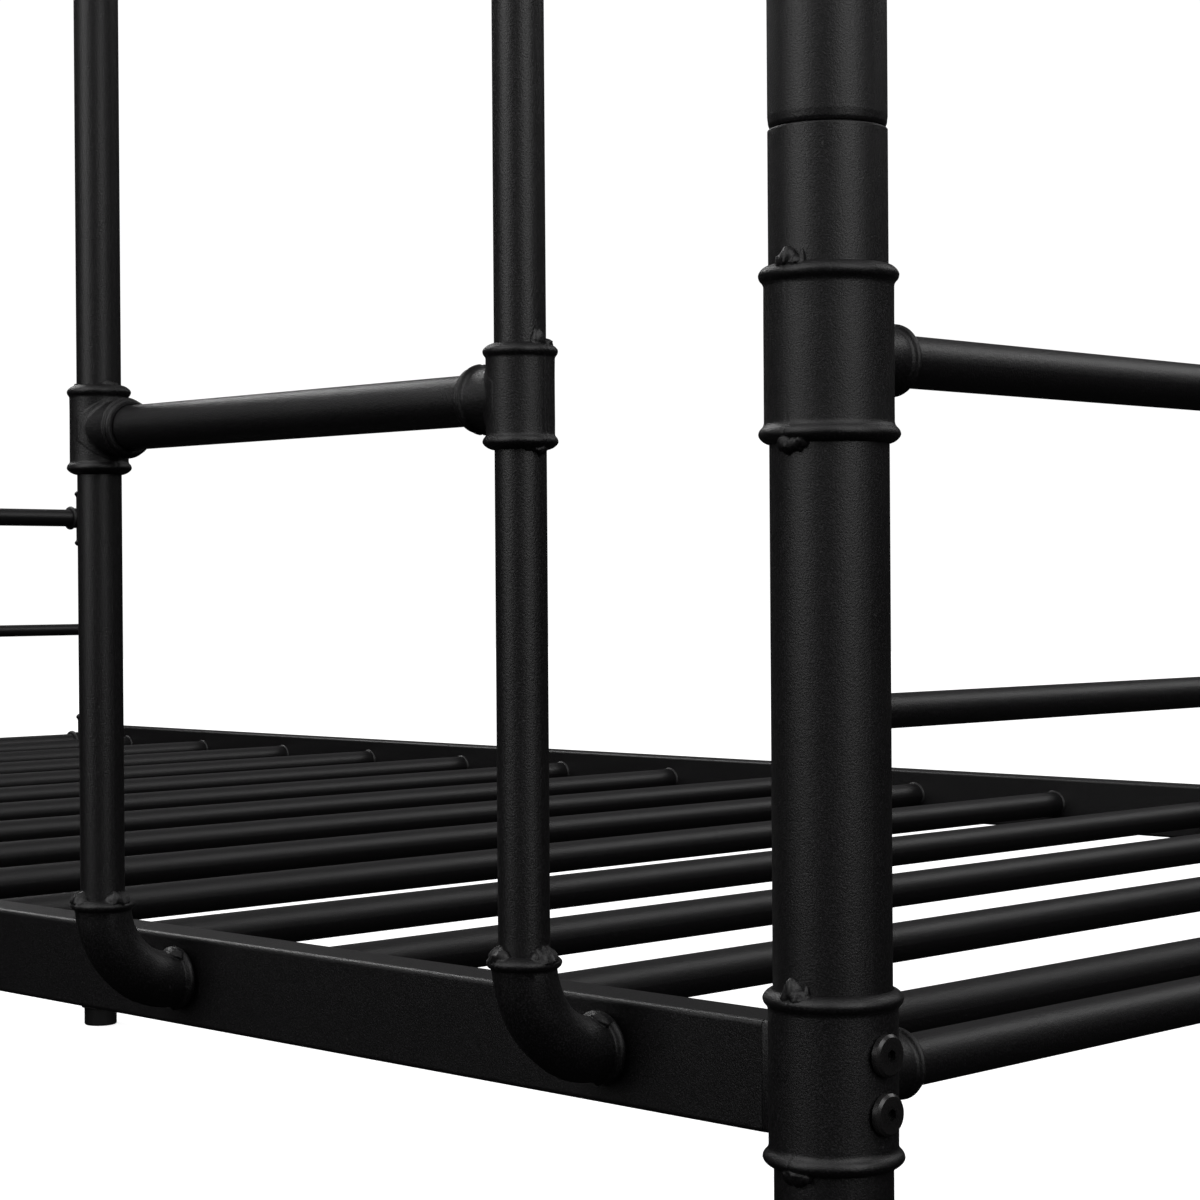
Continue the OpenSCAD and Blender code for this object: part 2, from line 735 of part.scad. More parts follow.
end_tube(1, upper_top - fitting_drop, tube_od, tube_wall);  // upper_right_bottom_tube
end_tube(1, upper_top + thin_rise, thin_od, thin_wall);  // upper_right_thin_tube
end_tube(1, guard_top, tube_od, tube_wall);  // upper_right_top_tube
rail_tees(upper_top);  // upper_rail_tees
upper_top_tees();
post_caps();
rail_end_plates();
post_bolts();
ladder_upright(ladder_x[0]);  // ladder_left_upright
ladder_upright(ladder_x[1]);  // ladder_right_upright
ladder_rung(0);  // ladder_rung_1
ladder_rung(1);  // ladder_rung_2
ladder_rung(2);  // ladder_rung_3
ladder_tees();
ladder_lower_elbows();
ladder_upper_elbows();
ladder_inserts();
ladder_bolts();
guard_front_top_tube();
guard_front_uprights();
guard_front_thin_tubes();
guard_back_top_tube();
guard_back_uprights();
guard_back_thin_tubes();
guard_tees();
guard_elbow();
guard_sockets();
guard_inserts();
guard_bolts();
guard_end_inserts();
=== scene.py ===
import math

import bpy
from mathutils import Matrix, Vector, noise


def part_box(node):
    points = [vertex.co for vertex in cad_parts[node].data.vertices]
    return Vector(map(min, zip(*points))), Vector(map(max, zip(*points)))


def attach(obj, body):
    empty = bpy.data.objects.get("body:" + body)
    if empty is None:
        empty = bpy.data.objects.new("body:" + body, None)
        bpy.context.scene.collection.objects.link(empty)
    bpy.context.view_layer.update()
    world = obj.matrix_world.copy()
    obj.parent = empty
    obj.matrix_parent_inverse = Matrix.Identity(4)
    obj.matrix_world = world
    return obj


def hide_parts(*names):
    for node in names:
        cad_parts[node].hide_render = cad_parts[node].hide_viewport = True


bl_info = {
    "name": "Steel-Tube Bunk Bed Finish",
    "version": (1, 0, 0),
    "blender": (4, 5, 0),
    "location": "View3D > Sidebar > Bunk Bed",
    "description": "Adds pressed pipe fittings, welds and a satin powder coat to a bunk bed frame",
    "category": "Add Mesh",
}

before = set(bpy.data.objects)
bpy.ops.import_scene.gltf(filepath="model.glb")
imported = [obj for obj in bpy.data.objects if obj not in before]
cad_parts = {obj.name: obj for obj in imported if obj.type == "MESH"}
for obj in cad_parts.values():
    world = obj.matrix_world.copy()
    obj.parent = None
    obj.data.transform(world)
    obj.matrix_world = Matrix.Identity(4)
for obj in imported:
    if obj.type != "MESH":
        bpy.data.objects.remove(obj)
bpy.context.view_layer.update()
mm = 0.001


# ---- what the frame says --------------------------------------------------------------------


def middle(node):
    """The centre of a node's box."""
    low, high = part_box(node)
    return (low + high) / 2


def post_line(row, side):
    """Centre line of a post: row is front or back, side is left or right."""
    return middle(f"lower_post_{row}_{side}")


post_radius = (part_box("lower_post_front_right")[1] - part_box("lower_post_front_right")[0]).x / 2
tube_radius = (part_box("ladder_left_upright")[1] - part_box("ladder_left_upright")[0]).x / 2
thin_radius = (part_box("lower_left_thin_tube")[1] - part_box("lower_left_thin_tube")[0]).z / 2
ladder_line = middle("ladder_left_upright").y


# ---- sizes and colours that a user would change ---------------------------------------------


class BedSizes(bpy.types.PropertyGroup):
    """Sizes of the fittings and their welds"""

    seam_depth: bpy.props.FloatProperty(
        name="Seam Depth", description="Depth of the line between the two pressed halves of a fitting",
        default=0.3 * mm, min=0.0, max=1 * mm, precision=5, subtype="DISTANCE", unit="LENGTH")
    seam_width: bpy.props.FloatProperty(
        name="Seam Width", description="Half width of that line",
        default=0.6 * mm, min=0.2 * mm, max=2 * mm, precision=5, subtype="DISTANCE", unit="LENGTH")
    hand_wobble: bpy.props.FloatProperty(
        name="Pressing Wobble", description="How far a pressed fitting's skin wanders from its true shape",
        default=0.13 * mm, min=0.0, max=0.6 * mm, precision=5, subtype="DISTANCE", unit="LENGTH")
    post_outlet: bpy.props.FloatProperty(
        name="Post Outlet Reach", description="From the post's centre line to the end of a tee's outlet",
        default=37.5 * mm, min=30 * mm, max=50 * mm, precision=4, subtype="DISTANCE", unit="LENGTH")
    pipe_outlet: bpy.props.FloatProperty(
        name="Small Tee Outlet Reach", description="From the run's centre line to the end of a small tee's outlet",
        default=23.7 * mm, min=20 * mm, max=35 * mm, precision=4, subtype="DISTANCE", unit="LENGTH")
    bend_radius: bpy.props.FloatProperty(
        name="Elbow Bend", description="Radius of an elbow's centre line",
        default=36.5 * mm, min=20 * mm, max=38 * mm, precision=4, subtype="DISTANCE", unit="LENGTH")
    weld_size: bpy.props.FloatProperty(
        name="Weld Size", description="Size of the tack welds on the fittings' rims",
        default=3.4 * mm, min=1 * mm, max=6 * mm, precision=4, subtype="DISTANCE", unit="LENGTH")
    fillet_size: bpy.props.FloatProperty(
        name="Fillet Weld", description="Leg of the weld run around a slat's or thin tube's end",
        default=1.4 * mm, min=0.5 * mm, max=4 * mm, precision=4, subtype="DISTANCE", unit="LENGTH")


class BedColours(bpy.types.PropertyGroup):
    """Colours of the finishes, and the coat's roughness"""

    coat: bpy.props.FloatVectorProperty(
        name="Powder Coat", description="Colour of the powder coat",
        default=(0.0009, 0.0008, 0.0010), min=0.0, max=1.0, size=3, subtype="COLOR")
    coat_grain: bpy.props.FloatVectorProperty(
        name="Coat Grain", description="Colour of the lighter grains in the powder coat",
        default=(0.0125, 0.0114, 0.0130), min=0.0, max=1.0, size=3, subtype="COLOR")
    bolt: bpy.props.FloatVectorProperty(
        name="Bolt", description="Colour of the black-oxide bolts",
        default=(0.0012, 0.0011, 0.0012), min=0.0, max=1.0, size=3, subtype="COLOR")
    zinc: bpy.props.FloatVectorProperty(
        name="Zinc", description="Colour of the zinc-plated joiners and inserts",
        default=(0.58, 0.59, 0.61), min=0.0, max=1.0, size=3, subtype="COLOR")
    plastic: bpy.props.FloatVectorProperty(
        name="Plastic", description="Colour of the moulded glides and caps",
        default=(0.0028, 0.0028, 0.0029), min=0.0, max=1.0, size=3, subtype="COLOR")
    coat_roughness: bpy.props.FloatProperty(
        name="Coat Roughness", description="Roughness of the powder coat",
        default=0.43, min=0.1, max=0.9, subtype="FACTOR")


# ---- shader maths ---------------------------------------------------------------------------


class Wire:
    """A value socket; sums on it add Math nodes."""

    def __init__(self, tree, socket):
        self.tree = tree
        self.socket = socket

    def _maths(self, operation, first, second):
        sum_node = self.tree.nodes.new("ShaderNodeMath")
        sum_node.operation = operation
        for place, value in enumerate((first, second)):
            if isinstance(value, Wire):
                self.tree.links.new(value.socket, sum_node.inputs[place])
            else:
                sum_node.inputs[place].default_value = value
        return Wire(self.tree, sum_node.outputs[0])

    def __add__(self, other):
        return self._maths("ADD", self, other)

    def __radd__(self, other):
        return self._maths("ADD", other, self)

    def __sub__(self, other):
        return self._maths("SUBTRACT", self, other)

    def __rsub__(self, other):
        return self._maths("SUBTRACT", other, self)

    def __mul__(self, other):
        return self._maths("MULTIPLY", self, other)

    def __rmul__(self, other):
        return self._maths("MULTIPLY", other, self)


def set_stops(ramp, stops):
    """Sets a colour ramp's stops, given as (position, colour) from low to high."""
    elements = ramp.color_ramp.elements
    for place, (position, colour) in enumerate(stops):
        stop = elements[place] if place < 2 else elements.new(position)
        stop.position = position
        stop.color = colour


class Coating:
    """A material and the nodes that make it."""

    def __init__(self, name):
        self.material = bpy.data.materials.new(name)
        self.material.use_nodes = True
        self.tree = self.material.node_tree
        self.skin = self.tree.nodes["Principled BSDF"]

    def node(self, kind, settings=None, **values):
        """Adds any node: its settings first, then the value or link of each named socket."""
        made = self.tree.nodes.new(kind)
        for key, value in (settings or {}).items():
            if key == "stops":
                set_stops(made, value)
            else:
                setattr(made, key, value)
        for key, value in values.items():
            self.feed(made, key, value)
        return made

    def feed(self, made, key, value):
        """Gives a node's named socket a value or a link; underscores in the name stand for spaces."""
        wanted = key.replace("_", " ").lower()
        socket = next(s for s in made.inputs if s.name.lower() == wanted and s.enabled)
        if isinstance(value, Wire):
            self.tree.links.new(value.socket, socket)
        else:
            socket.default_value = value

    def wire(self, made, output=0):
        """One of a node's outputs, by number or name."""
        return Wire(self.tree, made.outputs[output])

    def place(self):
        """Where a point is on the object, in metres."""
        return self.wire(self.node("ShaderNodeTexCoord"), "Object")

    def stretched(self, vector, scale):
        """A place scaled differently along each axis."""
        return self.wire(self.node("ShaderNodeMapping", vector=vector, scale=scale))

    def grain(self, vector, scale, detail, roughness):
        """Noise from 0 to 1; scale is in grains a metre."""
        made = self.node("ShaderNodeTexNoise", vector=vector, scale=scale, detail=detail, roughness=roughness)
        return self.wire(made, "Fac")

    def ramp(self, value, *stops):
        """A value taken through (position, grey level) stops."""
        grey = [(position, (level, level, level, 1.0)) for position, level in stops]
        return self.wire(self.node("ShaderNodeValToRGB", {"stops": grey}, fac=value))

    def blend(self, mask, first, second):
        """The first colour where the mask is 0, the second where it is 1."""
        made = self.tree.nodes.new("ShaderNodeMix")
        made.data_type = "RGBA"
        for key, value in ((0, mask), (6, first), (7, second)):
            if isinstance(value, Wire):
                self.tree.links.new(value.socket, made.inputs[key])
            elif key:
                made.inputs[key].default_value = (*value, 1.0)
            else:
                made.inputs[key].default_value = value
        return Wire(self.tree, made.outputs[2])

    def bump(self, height, strength, distance, under=None):
        """Relief from a height, laid over the normal under it."""
        made = self.node("ShaderNodeBump", height=height, strength=strength, distance=distance)
        if under is not None:
            self.feed(made, "normal", under)
        return self.wire(made)

    def finish(self, **values):
        """Feeds the skin's named sockets and gives the material."""
        for key, value in values.items():
            self.feed(self.skin, key, value)
        return self.material


# The paler blacks laid on the convex edges of the coat and of the bolts are painted highlights.
painted_edge_highlight_coat = (0.008, 0.0076, 0.008)
dust = (0.05, 0.049, 0.05)
bolt_grain = (0.010, 0.0098, 0.010)
painted_edge_highlight_bolt = (0.026, 0.025, 0.025)
clouded_zinc = (0.44, 0.45, 0.48)
scuffed_plastic = (0.011, 0.011, 0.011)


def powder_coat(colours):
    """Satin black powder coat: orange peel, fine sparkle, a painted highlight lightening its edges and shinier
    there, a little dust.
    """
    coat = Coating("Satin Powder Coat")
    spot = coat.place()
    fine = coat.grain(spot, scale=1500.0, detail=2.0, roughness=0.7)
    peel = coat.grain(spot, scale=330.0, detail=2.0, roughness=0.5)
    cloud = coat.grain(spot, scale=9.0, detail=3.0, roughness=0.55)
    edge = coat.ramp(coat.wire(coat.node("ShaderNodeNewGeometry"), "Pointiness"), (0.50, 0.0), (0.62, 1.0))
    specks = coat.ramp(coat.grain(spot, scale=420.0, detail=1.0, roughness=0.4), (0.775, 0.0), (0.81, 1.0))
    tone = coat.ramp(fine, (0.50, 0.0), (0.66, 1.0))
    colour = coat.blend(tone, colours.coat, colours.coat_grain)
    # painted highlight: convex edges are blended towards a paler black
    colour = coat.blend(edge * 0.35, colour, painted_edge_highlight_coat)
    colour = coat.blend(specks * 0.3, colour, dust)
    rough = colours.coat_roughness - 0.16 + 0.28 * fine + 0.08 * cloud - 0.05 * edge + 0.2 * specks
    rounded = coat.wire(coat.node("ShaderNodeBevel", {"samples": 4}, radius=0.0009))
    skin = coat.bump(peel, strength=0.08, distance=0.0002, under=rounded)
    skin = coat.bump(fine, strength=0.75, distance=0.0002, under=skin)
    return coat.finish(base_color=colour, roughness=rough, normal=skin, ior=1.5)


def black_oxide(colours):
    """Black bolts: tighter grain, a touch shinier than the coat, with a painted highlight on the edges."""
    coat = Coating("Black Bolt Finish")
    spot = coat.place()
    fine = coat.grain(spot, scale=1600.0, detail=2.0, roughness=0.6)
    cloud = coat.grain(spot, scale=60.0, detail=3.0, roughness=0.55)
    edge = coat.ramp(coat.wire(coat.node("ShaderNodeNewGeometry"), "Pointiness"), (0.51, 0.0), (0.60, 1.0))
    colour = coat.blend(coat.ramp(fine, (0.35, 0.0), (0.7, 1.0)), colours.bolt, bolt_grain)
    # painted highlight: convex edges are blended towards a paler black
    colour = coat.blend(edge * 0.5, colour, painted_edge_highlight_bolt)
    rough = 0.19 + 0.10 * fine + 0.08 * cloud - 0.04 * edge
    skin = coat.bump(fine, strength=0.25, distance=0.00006)
    return coat.finish(base_color=colour, roughness=rough, normal=skin, ior=1.5)


def zinc_plate(colours):
    """Zinc-plated steel: bright, faintly clouded, drawn along its length."""
    coat = Coating("Zinc Plate")
    spot = coat.place()
    cloud = coat.grain(spot, scale=70.0, detail=4.0, roughness=0.6)
    drawn = coat.grain(coat.stretched(spot, (900.0, 900.0, 60.0)), scale=1.0, detail=2.0, roughness=0.6)
    colour = coat.blend(coat.ramp(cloud, (0.3, 0.0), (0.7, 1.0)), colours.zinc, clouded_zinc)
    rough = 0.22 + 0.14 * cloud + 0.08 * drawn
    skin = coat.bump(drawn, strength=0.2, distance=0.00005)
    return coat.finish(base_color=colour, roughness=rough, metallic=1.0, normal=skin)


def moulded_plastic(colours):
    """Black moulded plastic with a fine spark-eroded texture, scuffed where it rubs."""
    coat = Coating("Moulded Plastic")
    spot = coat.place()
    fine = coat.grain(spot, scale=1900.0, detail=2.0, roughness=0.6)
    scuff = coat.grain(coat.stretched(spot, (260.0, 260.0, 30.0)), scale=1.0, detail=4.0, roughness=0.6)
    colour = coat.blend(coat.ramp(scuff, (0.55, 0.0), (0.75, 1.0)), colours.plastic, scuffed_plastic)
    rough = 0.46 + 0.12 * fine + 0.06 * scuff
    skin = coat.bump(fine, strength=0.4, distance=0.00008)
    return coat.finish(base_color=colour, roughness=rough, normal=skin, ior=1.47)


def finish_named(name, maker):
    """The finish of that name, made once and then shared."""
    found = bpy.data.materials.get(name)
    return found or maker(bpy.context.scene.bed_colours)


def coat_finish():
    """The finish that the tubes, fittings and welds share."""
    return finish_named("Satin Powder Coat", powder_coat)


# ---- mesh work ------------------------------------------------------------------------------


class Shell:
    """Points and faces of a piece, laid ring by ring."""

    def __init__(self):
        self.points = []
        self.faces = []

    def loft(self, rings, looped):
        """Joins closed rings of points in order; looped joins the last to the first, else both ends are capped."""
        count = len(rings[0])
        first = len(self.points)
        for ring in rings:
            self.points.extend(ring)
        last = len(rings)
        for step in range(last if looped else last - 1):
            a = first + step * count
            b = first + (step + 1) % last * count
            for i in range(count):
                j = (i + 1) % count
                self.faces.append((a + i, a + j, b + j, b + i))
        if not looped:
            self.faces.append(tuple(range(first + count - 1, first - 1, -1)))
            end = first + (last - 1) * count
            self.faces.append(tuple(range(end, end + count)))

    def piece(self, name, finish, slot, *stands_for):
        """Makes the object, gives it its finish, and rides it on the frame."""
        mesh = bpy.data.meshes.new(name)
        mesh.from_pydata(self.points, [], self.faces)
        mesh.validate()
        for face in mesh.polygons:
            face.use_smooth = True
        mesh.set_sharp_from_angle(angle=math.radians(50))
        made = bpy.data.objects.new(name, mesh)
        bpy.context.scene.collection.objects.link(made)
        made.data.materials.append(finish)
        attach(made, "root")
        if stands_for:
            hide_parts(*stands_for)
        return made


def turned(x, y, z, about_z=0.0, tilt=None):
    """A placing: turned about the upright axis, then moved to a point; tilt is applied first."""
    place = Matrix.Translation((x, y, z)) @ Matrix.Rotation(math.radians(about_z), 4, "Z")
    return place @ tilt if tilt else place


def lying(axis, degrees):
    """A turn about an axis."""
    return Matrix.Rotation(math.radians(degrees), 4, axis)


def arc(centre, radius, start, end, steps):
    """Points on an arc in (radius, height), angles in radians from the outward direction towards the top."""
    points = []
    for i in range(steps + 1):
        angle = start + (end - start) * i / steps
        points.append((centre[0] + radius * math.cos(angle), centre[1] + radius * math.sin(angle)))
    return points


def rim_profile(top, bore, body, crest, drop, nose, flare):
    """A rolled rim in section: a slope from the bore out to the crest, drop below the top, then a hollow flare."""
    nose_centre = (crest - nose, top - drop)
    across = body + flare - nose_centre[0]
    fall = math.sqrt((nose + flare) ** 2 - across ** 2)
    flare_centre = (body + flare, nose_centre[1] - fall)
    turn = math.atan2(-fall, across)
    points = []
    for i in range(11):
        swing = math.pi / 2 * i / 10
        out, down = math.sin(swing) ** 1.25, 1 - abs(math.cos(swing)) ** 1.25
        points.append((bore + (crest - bore) * out, top - drop * down))
    points += arc(nose_centre, nose, 0.0, turn, 6)[1:]
    points += arc(flare_centre, flare, turn + math.pi, math.pi, 7)[1:]
    return points


half_turn_seams = (math.pi / 2, 3 * math.pi / 2)


def seam_angles(count, radius, width):
    """Even angles around a ring, with close ones at each of its two seams."""
    angles = [2 * math.pi * i / count for i in range(count)]
    close = [k * width / radius for k in (-2.6, -1.6, -0.9, -0.4, 0.0, 0.4, 0.9, 1.6, 2.6)]
    reach = close[-1] + math.pi / count / 2

    def away(angle, seam):
        return abs((angle - seam + math.pi) % (2 * math.pi) - math.pi)

    kept = [a for a in angles if all(away(a, s) > reach for s in half_turn_seams)]
    return sorted(kept + [(s + c) % (2 * math.pi) for s in half_turn_seams for c in close])


def seam_cut(angle, radius, width):
    """How deep the seam is at an angle, from 0 to 1."""
    cut = 0.0
    for seam in half_turn_seams:
        off = abs((angle - seam + math.pi) % (2 * math.pi) - math.pi) * radius / width
        cut = max(cut, math.exp(-off * off * 1.4))
    return cut


def wander(point, size, seed):
    """Slow unevenness of a pressed skin."""
    sizes = bpy.context.scene.bed_sizes
    spot = Vector(point) / size + Vector((seed * 3.7, seed * 1.3, seed * 5.1))
    return sizes.hand_wobble * noise.noise(spot)


def add_sleeve(shell, place, half, bore, body, crest, shape, line, seed, count):
    """A sleeve around what runs through it along Z, with a rolled rim at each end.

    shape is the rims' drop, nose and flare; line is how much of the seam shows between them, from 0 to 1.
    """
    sizes = bpy.context.scene.bed_sizes
    rim = rim_profile(half, bore, body, crest, *shape)
    low = rim_profile(half, bore, body, crest + 0.15 * mm, *shape)
    flat = [(body, rim[-1][1] * k) for k in (0.6, 0.2, -0.2, -0.6)]
    outside = rim + flat + [(r, -z) for r, z in reversed(low)]
    section = outside + [(bore, -half * k) for k in (0.9, 0.0, -0.9)]
    angles = seam_angles(count, body, sizes.seam_width)
    rings = []
    for number, (radius, height) in enumerate(section):
        ring = []
        near_rim = min(1.0, max(0.0, (abs(height) - 0.45 * half) / (0.45 * half)))
        for angle in angles:
            r = radius
            if 0 < number < len(outside) - 1:
                r -= sizes.seam_depth * (line + 0.6 * near_rim ** 2) * seam_cut(angle, body, sizes.seam_width)
                r += wander((r * math.cos(angle), r * math.sin(angle), height), 7 * mm, seed) * (0.4 + near_rim)
            ring.append(place @ Vector((r * math.cos(angle), r * math.sin(angle), height)))
        rings.append(ring)
    shell.loft(rings, True)


def add_outlet(shell, place, body, neck, blend, bore, rims, reach, seed, count=48):
    """An outlet along +Y from a round body along Z: a skirt that lies on the body, a neck, and rolled rims."""
    sizes = bpy.context.scene.bed_sizes
    angles = seam_angles(count, neck, sizes.seam_width)

    def on_body(rho, angle):
        return math.sqrt(max(0.0, body ** 2 - (rho * math.cos(angle)) ** 2))

    def skirt(angle):
        """How far the skirt spreads from the neck before the body falls away at its sides."""
        return max(0.3 * mm, min(blend, 0.985 * body / max(abs(math.cos(angle)), 1e-6) - neck))

    rings = []

    def ring(spot, shaped=True):
        """Adds a ring; spot gives its radius and its place along Y at an angle."""
        line = []
        for angle in angles:
            r, along = spot(angle)
            if shaped:
                r -= sizes.seam_depth * 1.2 * seam_cut(angle, neck, sizes.seam_width)
                r += wander((r * math.cos(angle), along, r * math.sin(angle)), 6 * mm, seed)
            line.append(place @ Vector((r * math.cos(angle), along, r * math.sin(angle))))
        rings.append(line)

    def skirt_spot(swing, sunk):
        """The skirt's section, from lying on the body at no swing to standing as the neck at a quarter turn."""
        def spot(angle):
            rho = neck + skirt(angle) * (1 - math.sin(swing))
            return rho, on_body(rho, angle) - sunk + skirt(angle) * (1 - math.cos(swing))
        return spot

    ring(lambda angle: (bore, on_body(bore, angle) - 1.2 * mm), False)
    ring(skirt_spot(0.0, 1.0 * mm), False)
    steps = 8
    for i in range(steps + 1):
        ring(skirt_spot(math.pi / 2 * i / steps, 0.05 * mm), i > 2)
    for rim_spot in rims:
        ring(lambda angle: rim_spot)
    ring(lambda angle: (bore, reach), False)
    ring(lambda angle: (bore, reach - 6 * mm), False)
    shell.loft(rings, True)


def single_rim(reach, bore, neck, crest, shape):
    """An outlet's rim, from the neck out to its mouth."""
    return list(reversed(rim_profile(reach, bore + 0.3 * mm, neck, crest, *shape)))


def double_rim(reach, neck, crest):
    """A rolled rim with a smaller lip in front of it."""
    set_back = 2.3 * mm
    back = rim_profile(reach, crest - 1.3 * mm, neck, crest, *back_rim)
    back = [(r, z - set_back) for r, z in reversed(back)]
    groove = (crest - 1.5 * mm, reach - 2.75 * mm)
    lip_round = 1.3 * mm
    lip_centre = (crest - 2.1 * mm, reach - lip_round)
    return back + [groove] + arc(lip_centre, lip_round, math.radians(-55), math.radians(100), 10)


def add_weld(shell, place, size, seed, rings=9, count=16):
    """A lump of weld: a rounded, uneven bead, its longest way along Z."""
    layers = []
    for i in range(rings):
        swing = math.pi * (i + 0.5) / rings
        ring = []
        for k in range(count):
            angle = 2 * math.pi * k / count
            way = Vector((math.sin(swing) * math.cos(angle), math.sin(swing) * math.sin(angle), math.cos(swing)))
            bulge = 1 + 0.30 * noise.noise(way * 1.6 + Vector((seed * 2.3, seed, 0)))
            bulge += 0.10 * noise.noise(way * 4.5 + Vector((seed, 0, seed * 1.7)))
            ring.append(place @ Vector((way.x * size[0] * bulge, way.y * size[1] * bulge, way.z * size[2] * bulge)))
        layers.append(ring)
    shell.loft(layers, False)


def add_bead(shell, place, radius, height, angle, span, out, up, down, seed, steps=18, count=14):
    """A weld bead laid around part of a tube along Z.

    angle and span are in degrees; out, up and down are its reach from its root.
    """
    root = 0.8 * mm
    layers = []
    for i in range(steps + 1):
        part = 2 * i / steps - 1
        swell = max(0.08, (1 - abs(part) ** 2.4) ** 0.7)
        turn = math.radians(angle + span / 2 * part)
        ring = []
        for k in range(count):
            lean = 2 * math.pi * k / count
            spot = Vector((part * span / 16 + seed * 1.9, math.cos(lean), math.sin(lean)))
            lump = swell * (1 + 0.42 * noise.noise(spot * 0.9) + 0.20 * noise.noise(spot * 2.3))
            r = radius + (out * lump if math.cos(lean) > 0 else root) * math.cos(lean)
            z = height + (up if math.sin(lean) > 0 else down) * lump * math.sin(lean)
            ring.append(place @ Vector((r * math.cos(turn), r * math.sin(turn), z)))
        layers.append(ring)
    shell.loft(layers, False)


# A weld run in section, out from the tube and up from the face, as shares of its leg.
fillet_section = (
    (0.0, -0.6), (1.0, -0.6), (1.0, 0.06), (0.78, 0.30), (0.52, 0.52), (0.30, 0.76), (0.10, 0.96), (0.0, 1.0))


def add_fillet_run(shell, place, tube, leg, seed, body=None, count=40):
    """A weld run around a tube's end, along +Y from a flat face or from a post of radius body along Z."""

    def foot(rho, angle):
        """How far along Y the surface is that the run is laid on."""
        if body is None:
            return 0.0
        return math.sqrt(max(0.0, body ** 2 - (rho * math.cos(angle)) ** 2))

    rings = []
    for out, up in fillet_section:
        ring = []
        for k in range(count):
            angle = 2 * math.pi * k / count
            ripple = 1 + 0.22 * noise.noise(Vector((math.cos(angle) * 2.4, math.sin(angle) * 2.4, seed * 1.9)))
            ripple += 0.07 * math.sin(angle * 17 + seed)
            rho = tube - 0.25 * mm + (leg * ripple if up > 0 else leg) * out
            rise = leg * up * (ripple if up > 0 else 1.0)
            ring.append(place @ Vector((rho * math.cos(angle), foot(rho, angle) + rise, rho * math.sin(angle))))
        rings.append(ring)
    shell.loft(rings, True)


# ---- fittings -------------------------------------------------------------------------------

# A rim's shape is the drop from its top to its crest, the round of its nose, and the flare under it.
post_rim = (3.2 * mm, 3.0 * mm, 3.0 * mm)
post_outlet_rim = (2.1 * mm, 1.7 * mm, 2.0 * mm)
pipe_rim = (2.8 * mm, 2.6 * mm, 1.5 * mm)
elbow_rim = (2.6 * mm, 2.4 * mm, 1.0 * mm)
socket_rim = (2.3 * mm, 1.9 * mm, 1.6 * mm)
back_rim = (1.1 * mm, 0.8 * mm, 1.1 * mm)

# Tack welds: angle, end (1 top, -1 bottom), span, then reach outward, up and down as shares of the weld size.
post_tacks = (
    (-91, 1, 26, 1.10, 1.75, 0.60), (-82, 1, 18, 1.05, 0.85, 0.60), (-75, 1, 6, 0.55, 1.30, 0.30),
    (-89, -1, 34, 1.00, 0.50, 1.40), (-76, -1, 14, 0.80, 0.40, 0.80))
pipe_tacks = (
    (-92, 1, 40, 1.15, 2.30, 0.50), (-70, 1, 36, 1.30, 0.90, 0.80), (-88, -1, 46, 1.10, 0.80, 1.05),
    (-116, -1, 24, 0.70, 0.50, 0.60), (84, 1, 62, 0.60, 0.85, 0.30))
elbow_tacks = (
    (-107, 1, 71.3, 1.25, 1.38, 0.40), (4, 1, 75.9, 1.25, 1.50, 0.40), (96, 1, 50.6, 1.25, 1.08, 0.40),
    (170, 1, 46.0, 1.25, 0.96, 0.40))
# How far in from a rim's top its tack welds are rooted.
post_tack_inset = 0.7 * mm
pipe_tack_inset = 0.6 * mm
elbow_tack_inset = 1.3 * mm

# How far an outlet's skirt spreads over the body that it leaves.
post_skirt = 3.2 * mm
pipe_skirt = 1.9 * mm

# How many even sides a fitting's rings have.
post_sides = 84
pipe_sides = 60
elbow_sides = 56
socket_sides = 56

# Half heights and crests come from the frame's own fittings; a step is how far the body lies under its crest.
sleeve_fit = 0.15 * mm
sleeve_half = (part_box("lower_top_tees")[1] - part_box("lower_top_tees")[0]).z / 2
sleeve_crest = post_line("front", "left").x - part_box("lower_top_tees")[0].x + 0.2 * mm
sleeve_step = 1.9 * mm
tube_bore = tube_radius + sleeve_fit
pipe_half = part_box("ladder_tees")[1].z - middle("ladder_rung_3").z
pipe_crest = ladder_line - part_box("ladder_tees")[0].y
pipe_step = 0.9 * mm
elbow_step = 1.5 * mm

# Outside radii of the outlets' necks and of the crests on their rims.
post_neck = tube_radius + 1.7 * mm
pipe_neck = tube_radius + 2.0 * mm
outlet_crest = tube_radius + 3.6 * mm

# The round on a rail's long edges.
rail_round = 2.0 * mm


def add_tacks(shell, place, tacks, radius, half, size, seed):
    """Tack welds around both ends of a sleeve that is half tall each way."""
    for angle, end, span, outward, up, down in tacks:
        add_bead(shell, place, radius, end * half, angle, span,
                 outward * size, up * size, down * size, seed + angle)


def add_post_tee(shell, place, side, seed):
    """A post tee: the sleeve, its outlet along +Y, a guard outlet to one side, and its tack welds."""
    sizes = bpy.context.scene.bed_sizes
    body = sleeve_crest - sleeve_step
    add_sleeve(shell, place, sleeve_half, post_radius + sleeve_fit, body, sleeve_crest,
               post_rim, 0.0, seed, post_sides)
    rims = single_rim(sizes.post_outlet, tube_bore, post_neck, outlet_crest, post_outlet_rim)
    for turn in [0] + ([-90 * side] if side else []):
        out = place @ lying("Z", turn)
        add_outlet(shell, out, body, post_neck, post_skirt, tube_bore, rims, sizes.post_outlet, seed + turn)
    add_tacks(shell, place, post_tacks, post_radius, sleeve_half - post_tack_inset, sizes.weld_size, seed)


